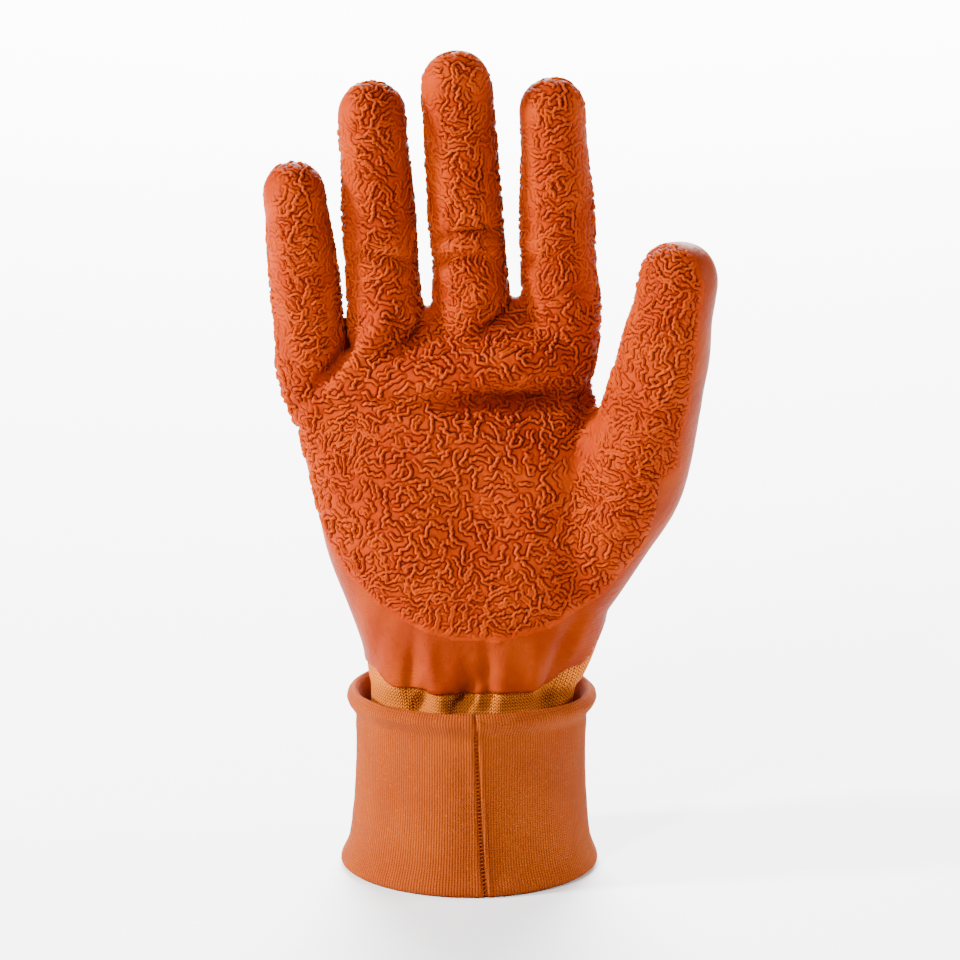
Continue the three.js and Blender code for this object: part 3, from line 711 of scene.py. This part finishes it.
smooth = Finish("smooth_latex")
mottle = smooth.noise(55, 3)
fine = smooth.noise(420, 3)
tone = smooth.mix(((mottle - 0.42) * 3.5).held(), orange(0.17, 0.09), orange(0.23, 0.12))
tone = smooth.mix(((smooth.noise(160, 2) - 0.66) * 8).held() * 0.5, tone, orange(0.11, 0.12, 0.012))
upward = smooth.node("ShaderNodeSeparateXYZ", {}, {0: smooth.place()}, output=2)
print_line = ((upward * 820 + smooth.noise(70, 2) * 3.5).math("FRACT") - 0.5).math("ABSOLUTE")
printed = ((smooth.noise(28, 2) - 0.44) * 5).held()
grain = fine * 0.8 + print_line * printed * 0.6 + smooth.noise(1500, 2) * 0.3
LATEX_GLINT = (1.0, 0.6, 0.36)
smooth_material = smooth.finish(
    Base_Color=tone, Roughness=0.48 + fine * 0.12, Specular_IOR_Level=0.08, Specular_Tint=LATEX_GLINT,
    Normal=smooth.bump(grain, 0.0003),
)
smooth_latex = mesh_object("smooth_latex_skin", latex_points, latex_faces, smooth_material)
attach(smooth_latex, "root")
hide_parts("latex_coat")

# Grip latex. The second dip is treated so that its skin swells and sets in a net of crinkles: even,
# kinked ridges about a millimetre wide, often two side by side, with a groove along each side.
GRIP_MARGIN = 0.4  # how far the thin edge of the grip latex runs out
form, form_faces, form_normals = hand_form(VOXEL, rounds=18, hollows=50)
used, grip_faces = kept_part(form, form_faces, grip_depth(form) + GRIP_MARGIN)
coarse = form[used]
coarse_tree = BVHTree.FromPolygons(coarse.tolist(), grip_faces.tolist())

SAMPLE, BOX = 0.22, 1.5  # between samples of a crinkle, and the boxes that they are kept in


class Ridges:
    """The crinkles' centre lines as samples, kept in boxes so that near ones are found fast."""

    def __init__(self):
        self.boxes = {}
        self.points = []
        self.heights = []

    def box(self, p):
        return int(p[0] // BOX), int(p[1] // BOX), int(p[2] // BOX)

    def add(self, p, number, height, size):
        self.boxes.setdefault(self.box(p), []).append((p[0], p[1], p[2], number))
        self.points.append(p)
        self.heights.append((height, size))

    def nearest(self, p, but=-1):
        """How far off the nearest sample is, and where it lies."""
        kx, ky, kz = self.box(p)
        best, where = 9.0, None
        for i in (-1, 0, 1):
            for j in (-1, 0, 1):
                for k in (-1, 0, 1):
                    for x, y, z, number in self.boxes.get((kx + i, ky + j, kz + k), ()):
                        if number != but:
                            d = (x - p[0]) ** 2 + (y - p[1]) ** 2 + (z - p[2]) ** 2
                            if d < best:
                                best, where = d, (x, y, z)
        return math.sqrt(best), where


def grow_ridge(rng, ridges, tree, start, normal, heading, length, number, size):
    """One kinked line over the surface, from start, until it is long enough or joins another."""
    here, up, mean = start.copy(), normal.copy(), heading.copy()
    path = [here]
    turn = rng.choice((-1, 1))
    gone = 0.0
    while gone < length:
        bend = 0.5 * turn * math.radians(rng.uniform(45, 130)) + rng.gauss(0, 0.15)
        going = (mean * math.cos(bend) + up.cross(mean) * math.sin(bend)).normalized()
        for _ in range(max(1, int(rng.uniform(0.6, 1.9) * size / SAMPLE))):
            found, face_normal, _, off = tree.find_nearest(here + going * SAMPLE)
            if found is None or off > 0.4:
                return path
            here, up = found, face_normal
            going = (going - up * going.dot(up)).normalized()
            path.append(here)
            gone += SAMPLE
            away, where = ridges.nearest(here, number)
            if away < 0.95 * size:
                if gone > 0.9 and rng.random() < 0.8:
                    path.extend(here.lerp(Vector(where), share) for share in (0.3, 0.6, 0.9))
                return path
        mean = (mean - up * mean.dot(up)).normalized()
        turn = -turn if rng.random() < 0.8 else turn
    return path


def lay_ridge(ridges, path, number, height, size):
    """Rounds a path's kinks a little and adds it, lower towards its ends."""
    for i in range(len(path)):
        near = path[max(0, i - 1):i + 2]
        end = min(i, len(path) - 1 - i) * SAMPLE
        ridges.add(sum(near, Vector((0, 0, 0))) / len(near), number, height * min(1, 0.45 + 0.7 * end), size)


# clear room round a ridge's start, shortest and longest length, and height
RIDGE_STAGES = [(3.5, 8, 20, 1.05), (2.5, 3, 9, 0.95), (2.0, 1.2, 3.2, 0.7)]


def grow_net(tree, starts, normals, grains, sizes, seed):
    """Fills the surface with ridges: long ones first, then short ones between them."""
    rng = random.Random(seed)
    ridges = Ridges()
    number = 0
    for room, shortest, longest, height in RIDGE_STAGES:
        for start, normal, grain, size in zip(starts, normals, grains, sizes):
            if ridges.nearest(start)[0] < room * size:
                continue
            number += 1
            heading = (grain - normal * grain.dot(normal)).normalized()
            spin = rng.gauss(0, 0.55)
            heading = heading * math.cos(spin) + normal.cross(heading) * math.sin(spin)
            length = rng.uniform(shortest, longest) * size
            tall = height * rng.uniform(0.8, 1.15)
            ends = [
                grow_ridge(rng, ridges, tree, start, normal, way, length / 2, number, size)
                for way in (heading, -heading)
            ]
            path = ends[1][::-1] + ends[0][1:]
            if len(path) * SAMPLE < 1.1:
                continue
            lay_ridge(ridges, path, number, tall, size)
            if rng.random() < 0.45:
                aside = heading.cross(normal) * rng.choice((-1, 1)) * rng.uniform(1.3, 1.6) * size
                first, last = int(rng.uniform(0, 0.35) * len(path)), int(rng.uniform(0.6, 1) * len(path))
                kept = []
                for p in path[first:last]:
                    found, _, _, off = tree.find_nearest(p + aside)
                    if found is None or off > 0.6 or ridges.nearest(found, number)[0] < 1.1 * size:
                        break
                    kept.append(found)
                if len(kept) * SAMPLE > 1.3:
                    number += 1
                    lay_ridge(ridges, kept, number, 0.85 * tall, size)
    return ridges


# Zones of the palm side by pixel across and down in the photograph, and half size in millimetres:
# where the crinkles are finer, and where the latex stays smooth.
FINE_ZONES = [
    (385, 255, 8), (460, 258, 8), (560, 262, 9), (330, 335, 10), (300, 262, 6), (640, 440, 13),
    (590, 505, 12), (365, 600, 12), (440, 622, 20), (350, 440, 9), (560, 400, 9), (510, 628, 16),
    (470, 305, 10),
]
SMOOTH_ZONES = [
    (598, 426, 4.6), (588, 446, 4.4), (576, 463, 4.0), (566, 480, 3.0), (350, 345, 3.6), (338, 362, 3.8),
    (322, 378, 3.2), (575, 290, 2.2), (431, 312, 3.2), (516, 300, 3.0), (272, 215, 3.4), (345, 112, 4.4),
    (432, 92, 4.0), (524, 120, 4.2), (276, 190, 4.2),
]


def zone_share(points, zones):
    """How far points lie in any of the zones: 1 in the middle of one and 0 outside them."""
    across, up = photo_place(points)
    share = np.zeros(len(points))
    for px, py, size in zones:
        x, z = at_pixel(px, py)
        share = np.maximum(share, np.exp(-(((across - x) ** 2 + (up - z) ** 2) / size**2) ** 1.5))
    return share


def beside_middle(points):
    """1 on the bands of each finger between its middle and its sides, where few crinkles form."""
    x, _, z = points.T
    least = np.full(len(points), 9.0)
    for finger in FINGERS:
        place, _, width, _ = finger_line(finger)
        line = np.array([place(a) for a in np.linspace(-0.1, 1, 30)])
        share = np.abs(x - np.interp(z, line[:, 2], line[:, 0])) / (0.46 * width)
        least = np.minimum(least, np.where(z > line[5, 2], share, 9.0))
    return eased((least - 0.4) / 0.22) * (1 - eased((least - 0.84) / 0.1)) * (least < 1.5)


dense, dense_faces = modified(coarse, grip_faces.tolist(), "SUBSURF", {"levels": 1})
order = list(range(len(coarse)))
random.Random(7).shuffle(order)
picked = np.array(order)
start_normals = form_normals[used][picked]
picked_points = coarse[picked]
sizes = 1.04 - 0.4 * zone_share(picked_points, FINE_ZONES) + 0.2 * rolling(picked_points, 9, 33)
sizes = np.clip(sizes - 0.2 * eased((picked_points[:, 2] - 178) / 16), 0.6, 1.3)
grains = np.stack([rolling(picked_points, 12, seed) for seed in (61, 62, 63)], 1) + [0.05, 0.0, 0.15]
ridges = grow_net(
    coarse_tree,
    [Vector(p) for p in picked_points],
    [Vector(n) for n in start_normals],
    [Vector(g) for g in grains],
    sizes.tolist(),
    4,
)
near = KDTree(len(ridges.points))
for i, p in enumerate(ridges.points):
    near.insert(p, i)
near.balance()
found = [near.find(p) for p in dense.tolist()]
away = np.array([f[2] for f in found])
strength, size = np.array(ridges.heights)[[f[1] for f in found]].T
dense_normals = point_normals(dense, dense_faces)
inside = grip_depth(dense)
fade = eased(inside / 3) * (1 - 0.92 * zone_share(dense, SMOOTH_ZONES)) * (1 - 0.62 * beside_middle(dense))
RIDGE_WIDTH, RIDGE_HEIGHT, EDGE_LIFT, SKIN_LIFT, SWELL_ACROSS = 0.37, 0.74, 0.08, 0.55, 8
wide = RIDGE_WIDTH * (0.4 + 0.6 * size)
crest = np.exp(-((away / wide) ** 2))
groove = np.exp(-(((away - 1.75 * wide) / (0.65 * wide)) ** 2))
ridge = strength * (crest - 0.55 * groove) * fade
ridge = 0.7 * ridge + 0.3 * spread_over(ridge, *links(dense_faces), len(dense))
lift = EDGE_LIFT + SKIN_LIFT * eased((inside + GRIP_MARGIN) / SWELL_ACROSS)
lift += RIDGE_HEIGHT * (0.5 + 0.5 * size) * ridge + 0.14 * fade * rolling(dense, 2.2, 51)
# Painted shade: how far the grip latex's colour is darkened in the hollows of the folds, where shade falls.
hollows = np.clip(-0.28 * fold_heights(dense, dense_normals) - 0.12, 0, 1)
skin_points = dense + dense_normals * lift[:, None]
skin_normals = point_normals(skin_points, dense_faces)

crinkled = Finish("crinkled_latex")
height = crinkled.node("ShaderNodeAttribute", {"attribute_name": "ridge"}, output="Fac")
mottle = crinkled.noise(70, 3)
tone = crinkled.mix(((mottle - 0.4) * 3).held(), orange(0.22, 0.08), orange(0.29, 0.105))
# Painted shade: the grooves beside each ridge are coloured a deep red, darker the deeper they lie.
tone = crinkled.mix((height * -5).held() * 0.88, tone, orange(0.04, 0.03))
# Painted highlight: the ridges' crests are coloured lighter.
tone = crinkled.mix((height * 1.5).held() * 0.3, tone, orange(0.36, 0.15))
# Painted shade: the grip latex is coloured darker in the hollows of the large folds.
fold_shade = crinkled.node("ShaderNodeAttribute", {"attribute_name": "fold_shade"}, output="Fac")
tone = crinkled.mix(fold_shade * 0.7, tone, orange(0.085, 0.03))
grain = crinkled.noise(900, 3)
crinkled_material = crinkled.finish(
    Base_Color=tone, Roughness=0.46 + grain * 0.14, Specular_IOR_Level=0.03, Specular_Tint=LATEX_GLINT,
    Normal=crinkled.bump(grain, 0.00012),
)

# The skin is one on the real glove. Here it is parted into pieces of a size that a viewer can load.
THUMB_FROM, FINGERS_FROM, LITTLE_FINGER_DROP, PALM_FROM = 47, 178, 14, 128
LITTLE_RING, RING_MIDDLE, MIDDLE_INDEX = -44, -12.6, 17
middles = skin_points[dense_faces].mean(1)
x, z = middles[:, 0], middles[:, 2]
on_thumb = x > THUMB_FROM
on_fingers = ~on_thumb & (z > FINGERS_FROM - np.where(x < -40, LITTLE_FINGER_DROP, 0))
on_palm = ~on_thumb & ~on_fingers
GRIP_PIECES = {
    "grip_heel": on_palm & (z < PALM_FROM),
    "grip_palm": on_palm & (z >= PALM_FROM),
    "grip_thumb": on_thumb,
    "grip_little_finger": on_fingers & (x < LITTLE_RING),
    "grip_ring_finger": on_fingers & (x >= LITTLE_RING) & (x < RING_MIDDLE),
    "grip_middle_finger": on_fingers & (x >= RING_MIDDLE) & (x < MIDDLE_INDEX),
    "grip_index_finger": on_fingers & (x >= MIDDLE_INDEX),
}
for name, chosen in GRIP_PIECES.items():
    used = np.unique(dense_faces[chosen])
    number = np.zeros(len(skin_points), np.int64)
    number[used] = np.arange(len(used))
    piece = mesh_object(name, skin_points[used], number[dense_faces[chosen]], crinkled_material,
                        {"ridge": ridge[used], "fold_shade": hollows[used]}, skin_normals[used])
    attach(piece, "root")
    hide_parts("grip_coat")

# Cuff. An oval tube of doubled cotton jersey, folded at its foot and rolled soft at its top, with the
# liner's hem sewn inside it. Its wales run up the tube.
SEAM_ANGLE, SEAM_LEAN = -80.5, 6.0
CUFF_RADIUS, CUFF_EASE, FRONT_RAISE = 38, 0.5, 2.1
# height, flare, inset: the outer face, the rim and then the inner face
CUFF_SECTIONS = [
    (0.0, 0.72, 0.2), (0.035, 0.95, 0), (0.17, 0.42, 0), (0.4, 0.1, 0), (0.68, 0, 0), (0.86, 0.15, 0),
    (0.93, 0.5, -0.1), (0.97, 0.62, -0.1), (1.0, 0.56, 0.35), (1.0, 0.5, 0.75), (0.965, 0.4, 1.08),
    (0.86, 0.15, 1), (0.4, 0.1, 1), (0.17, 0.42, 1), (0.0, 0.72, 0.95),
]


def on_cuff(share, turn, out, up):
    """Points of the cuff at a share of its height, an angle and how far out they stand."""
    return np.stack([
        CUFF_LEAN * share + (CUFF_WIDTH / 2 + CUFF_EASE + out) * np.cos(turn),
        (CUFF_DEPTH / 2 + out) * np.sin(turn),
        up,
    ], -1)


def rim_roll(up):
    """How far the cuff swells at its rolled rim and draws in below it, at a height."""
    return 0.55 * np.exp(-(((up - 57.8) / 2.2) ** 2)) - 0.5 * np.exp(-(((up - 52.9) / 1.7) ** 2))


def front_rise(share):
    """How far the front of the cuff stands higher than its back, at a share of its height."""
    return FRONT_RAISE * eased((share - 0.45) / 0.5)


beside = 210
from_seam = np.concatenate([
    np.linspace(-180, -6, beside, endpoint=False),
    np.linspace(-6, 6, beside * 2 // 5, endpoint=False),
    np.linspace(6, 180, beside, endpoint=False),
])
CUFF_COLUMNS = len(from_seam)
rows = through(CUFF_SECTIONS, 6)
row_height = np.repeat(rows[:, 0], CUFF_COLUMNS)
row_turn = np.radians(SEAM_ANGLE - SEAM_LEAN * row_height + np.tile(from_seam, len(rows)))
out = np.repeat(rows[:, 1] * CUFF_FLARE - rows[:, 2] * CUFF_WALL, CUFF_COLUMNS)
outer = np.repeat(rows[:, 2] < 0.5, CUFF_COLUMNS)
seam_away = np.radians(np.tile(from_seam, len(rows))) * CUFF_RADIUS
height = row_height * CUFF_HEIGHT
cuff_points = on_cuff(row_height, row_turn, out, height)
outward = np.stack([np.cos(row_turn), np.sin(row_turn), 0 * row_turn], 1)
soft = 0.5 * rolling(cuff_points * [1, 1, 0.45], 17, 23) + 0.16 * rolling(cuff_points, 5, 27)
rolled = rim_roll(height)
pinch = 0.25 * np.exp(-(((seam_away + 3.2) / 1.3) ** 2)) - 0.85 * np.exp(-(((seam_away + 1.35) / 0.5) ** 2))
foot = 0.5 * np.exp(-(((height - 2.0) / 4.0) ** 2))
cuff_points += outward * (soft * np.clip(height / 6, 0, 1) + outer * (rolled + pinch + foot))[:, None]
cuff_points[:, 2] += 0.35 * rolling(outward * 36, 20, 29) * np.clip((row_height - 0.8) * 5, 0, 1)
cuff_points[:, 2] += front_rise(row_height) * np.clip(-np.sin(row_turn), 0, 1) ** 1.5
cuff_faces = grid_faces(len(rows), CUFF_COLUMNS)[:, ::-1]

jersey = Finish("jersey")
JERSEY_RADIUS, JERSEY_WALES, JERSEY_COURSE = 37.5, 250, 0.8
across, upward = jersey.round_the_cuff(JERSEY_RADIUS)
JERSEY_WALE = 2 * math.pi * JERSEY_RADIUS / JERSEY_WALES
waver = jersey.noise(120, 2) * 0.5
leg = ((across / JERSEY_WALE + waver).math("FRACT") - 0.5).math("ABSOLUTE")
stitch = ((upward / JERSEY_COURSE + leg * 1.3).math("FRACT") - 0.5).math("ABSOLUTE")
rib = (1 - leg * 2.0) ** 0.6
loop_height = rib * 0.7 + (1 - stitch * 2.0) * 0.4
fibre = jersey.noise(1400, 2)
patch = jersey.noise(38, 3)
tone = jersey.mix(((patch - 0.4) * 2.5).held(), orange(0.29, 0.15), orange(0.37, 0.175))
# Painted shade: the low places between the wales and stitches are coloured dark, darker with their depth.
tone = jersey.mix((1.05 - loop_height).held() * 0.95, tone, orange(0.055, 0.1))
tone = jersey.mix(((fibre - 0.6) * 5).held() * 0.4, tone, orange(0.5, 0.25, 0.005))
jersey_material = jersey.finish(
    Base_Color=tone, Roughness=0.93, Specular_IOR_Level=0.1,
    Normal=jersey.bump(loop_height + fibre * 0.3, 0.0004),
)
cuff = mesh_object("jersey_cuff", cuff_points, cuff_faces, jersey_material)
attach(cuff, "root")
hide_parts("cuff")

# Cuff seam. The jersey tube is closed by a seam up its front: one raw edge stands a little proud
# beside a stitched groove.
SEAM_WIDTH, SEAM_LIFT, OFF_FLOOR = 1.6, 0.6, 0.05
seam_rows = through([row for row in CUFF_SECTIONS if row[2] <= 0.2][:8], 14)
# aside, rise
SEAM_SECTION = [(-0.5, -0.4), (-0.46, 0.3), (-0.3, 0.85), (0, 1.0), (0.3, 0.85), (0.46, 0.3), (0.5, -0.4)]
section = np.array(SEAM_SECTION)
share = np.repeat(seam_rows[:, 0], len(section))
up = share * CUFF_HEIGHT
out = rim_roll(up) + np.repeat(seam_rows[:, 1] * CUFF_FLARE - seam_rows[:, 2] * CUFF_WALL, len(section))
out += np.tile(section[:, 1], len(seam_rows)) * SEAM_LIFT
turn = np.radians(SEAM_ANGLE - SEAM_LEAN * share)
turn += np.tile(section[:, 0], len(seam_rows)) * SEAM_WIDTH / CUFF_RADIUS
seam_points = on_cuff(share, turn, out, np.maximum(up, OFF_FLOOR) + front_rise(share))
seam_faces = grid_faces(len(seam_rows), len(section), loop=False)
seam = mesh_object("cuff_seam_edge", seam_points, seam_faces, jersey_material)
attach(seam, "root")
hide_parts("cuff_seam")

# Seam stitches. Short slanted threads that hold the folded edge down over the groove beside it.
STITCH_STEP, STITCH_START, STITCH_LENGTH, THREAD = 1.25, -2.15, 1.5, 0.19
LOWEST_STITCH, TOP_STITCH = 1.4, 56.5
STITCH_SINK, STITCH_ARCH, STITCH_SLANT, THREAD_SIDES = 0.2, 0.45, 0.5, 6
stitch_points, stitch_faces = [], []
arc = np.linspace(0, 1, 7)
round_thread = 2 * np.pi * np.arange(THREAD_SIDES) / THREAD_SIDES
for up in np.arange(LOWEST_STITCH, TOP_STITCH, STITCH_STEP):
    height = up / CUFF_HEIGHT
    flare = np.interp(height, seam_rows[:, 0], seam_rows[:, 1])
    reach = flare * CUFF_FLARE - STITCH_SINK + STITCH_ARCH * np.sin(arc * np.pi)
    angle = math.radians(SEAM_ANGLE - SEAM_LEAN * height) + (STITCH_START + STITCH_LENGTH * arc) / CUFF_RADIUS
    line = on_cuff(height, angle, reach, up + STITCH_SLANT * arc + front_rise(height))
    thick = THREAD * np.sqrt(np.clip(1 - (2 * arc - 1) ** 4, 0.05, 1))
    ring = np.stack([0 * round_thread, -np.cos(round_thread), np.sin(round_thread)], 1)
    start = sum(len(points) for points in stitch_points)
    stitch_points.append((line[:, None] + thick[:, None, None] * ring[None]).reshape(-1, 3))
    stitch_faces.append(grid_faces(len(arc), THREAD_SIDES)[:, ::-1] + start)

thread = Finish("seam_thread")
thread_material = thread.finish(
    Base_Color=thread.mix(thread.noise(900), orange(0.1, 0.1), orange(0.22, 0.15)), Roughness=0.85,
    Specular_IOR_Level=0.1,
)
stitches = mesh_object("seam_stitches", np.vstack(stitch_points), np.vstack(stitch_faces), thread_material)
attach(stitches, "root")
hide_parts("cuff_seam")
